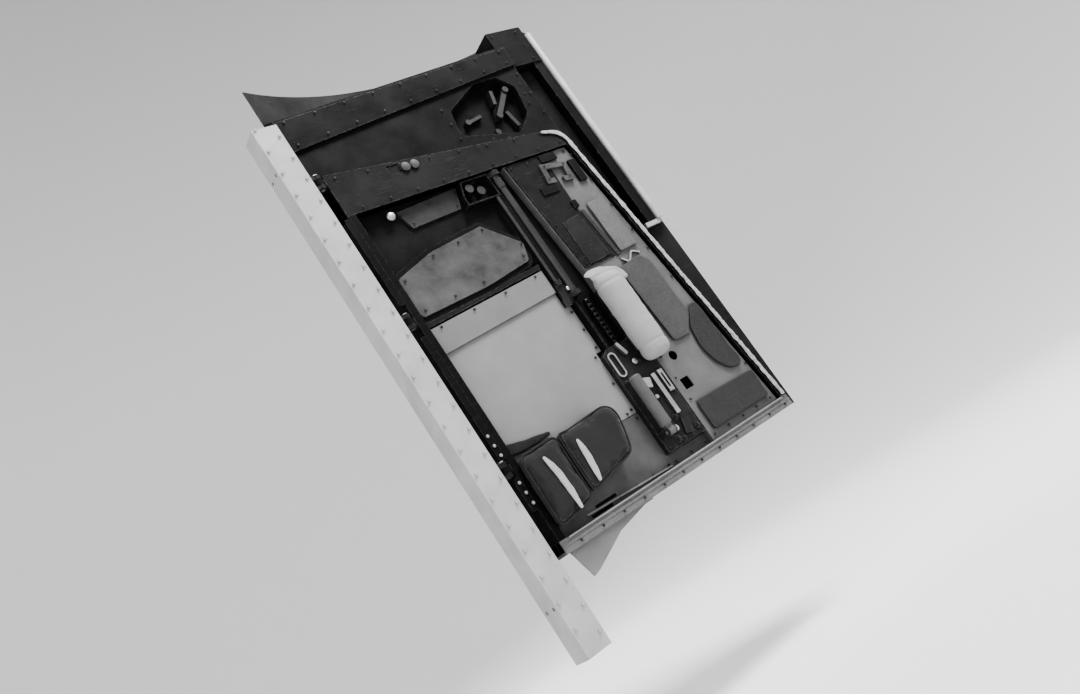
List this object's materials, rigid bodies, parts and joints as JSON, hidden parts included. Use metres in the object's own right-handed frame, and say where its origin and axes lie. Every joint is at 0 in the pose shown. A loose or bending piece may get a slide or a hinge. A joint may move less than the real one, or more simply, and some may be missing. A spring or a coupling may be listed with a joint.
{
  "type": "spacecraft crew hatch",
  "caption": "Crew hatch of a small space capsule, open on its hinged sill beam, with curved skin, window, latch drive, handle, pads and pouches.",
  "frame": {"origin": "middle of the bolt pattern on the sill beam's mounting face, where the hatch is fastened to its vehicle", "axes": "+Z along the hinge axis, from the hatch's aft end to its nose end; +X from the hinge to the free edge of the open hatch; the cabin side faces -Y and the curved skin +Y. At rest the hatch is swung open, and at -110 degrees it is shut."},
  "size_m": [0.937, 0.256, 1.425],
  "materials": {
    "structure_dark": "satin dark paint, worn at edges",
    "band_black": "matt black paint",
    "bay_dark": "satin dark grey paint",
    "frame_dark": "satin dark grey paint, worn at edges",
    "frame_grey": "satin mid-dark paint, worn at edges",
    "beam_grey": "satin grey paint, worn at edges",
    "lip_pale": "pale grey paint",
    "sill_pale": "pale paint",
    "rod_dark": "dull dark steel",
    "skin_dark": "dark matt skin",
    "plate_grey": "satin grey paint",
    "cover_grey": "satin light grey paint",
    "panel_white": "off-white paint",
    "facet_light": "light grey paint",
    "steel_bright": "machined",
    "handle_grey": "light grey, smooth",
    "edge_pale": "dull bare metal",
    "rim_seal": "pale rough seal",
    "pouch_fabric": "dark woven fabric",
    "strap_pale": "pale webbing",
    "pad_dark": "dark foam pad",
    "roll_white": "white padded cloth",
    "pad_light": "light grey foam pad",
    "chain_dark": "dark oiled steel",
    "pane": "clear"
  },
  "bodies": {
    "sill": {"sill_beam": "sill_pale", "hinge_pins": "steel_bright"},
    "hatch": {"hinge_tongues": "band_black", "outer_skin": "skin_dark", "window_bezel": "structure_dark", "edge_tube": "edge_pale", "aft_beam": "beam_grey", "front_beam": "frame_dark", "hinge_longeron": "band_black", "free_longeron": "frame_dark", "free_edge_rim": "rim_seal", "inner_floor": "structure_dark", "window_frame": "structure_dark", "window_cover": "cover_grey", "window_tunnel": "structure_dark", "window_pane": "pane", "cross_member": "frame_dark", "inner_panel": "panel_white", "aft_plate": "plate_grey", "pouch_left": "pouch_fabric", "pouch_right": "pouch_fabric", "pouch_flap": "pouch_fabric", "pouch_straps": "strap_pale", "torque_brackets": "frame_grey", "drive_rails": "structure_dark", "latch_box": "structure_dark", "handle_clevis": "frame_grey", "handle_pin": "steel_bright", "facet_panel": "facet_light", "upper_plate": "frame_dark", "padded_roll": "roll_white", "strip_pad": "pad_dark", "crescent_pad": "pad_dark", "square_pad": "pad_dark", "nose_panel": "bay_dark", "nose_strip": "bay_dark", "nose_wall": "structure_dark", "nose_side_wall": "structure_dark", "latch_pocket": "structure_dark", "latch_fittings": "rod_dark", "edge_flank": "bay_dark", "corner_cap": "bay_dark", "aft_lip": "lip_pale", "inset_plate": "plate_grey", "push_rod": "rod_dark", "roller_box": "structure_dark", "guide_rollers": "rod_dark", "drive_chain": "chain_dark", "release_ring": "steel_bright", "latch_slides": "steel_bright", "latch_arm": "frame_grey", "lower_plate": "frame_grey", "box_bracket": "cover_grey", "bracket_bars": "structure_dark", "light_pad": "pad_light", "hold_strap": "pad_dark", "s_hook": "steel_bright"},
    "handle": {"latch_handle": "handle_grey"},
    "torque_drive": {"torque_tube": "rod_dark"}
  },
  "joints": [
    {"name": "hatch_swing", "type": "hinge", "parent": "sill", "child": "hatch", "pos_m": [0.073, -0.019, 0.07], "axis": [0, 0, 1], "range_deg": [-110, 10]},
    {"name": "handle_swing", "type": "hinge", "parent": "hatch", "child": "handle", "pos_m": [0.468, -0.033, -0.354], "axis": [1, 0, 0], "range_deg": [0, 75]},
    {"name": "torque_turn", "type": "hinge", "parent": "hatch", "child": "torque_drive", "pos_m": [0.485, -0.011, 0.193], "axis": [0, 0, 1], "range_deg": [0, 30]}
  ],
  "couplings": [
    {"joint": "torque_turn", "follows": "handle_swing", "ratio": 0.4}
  ]
}
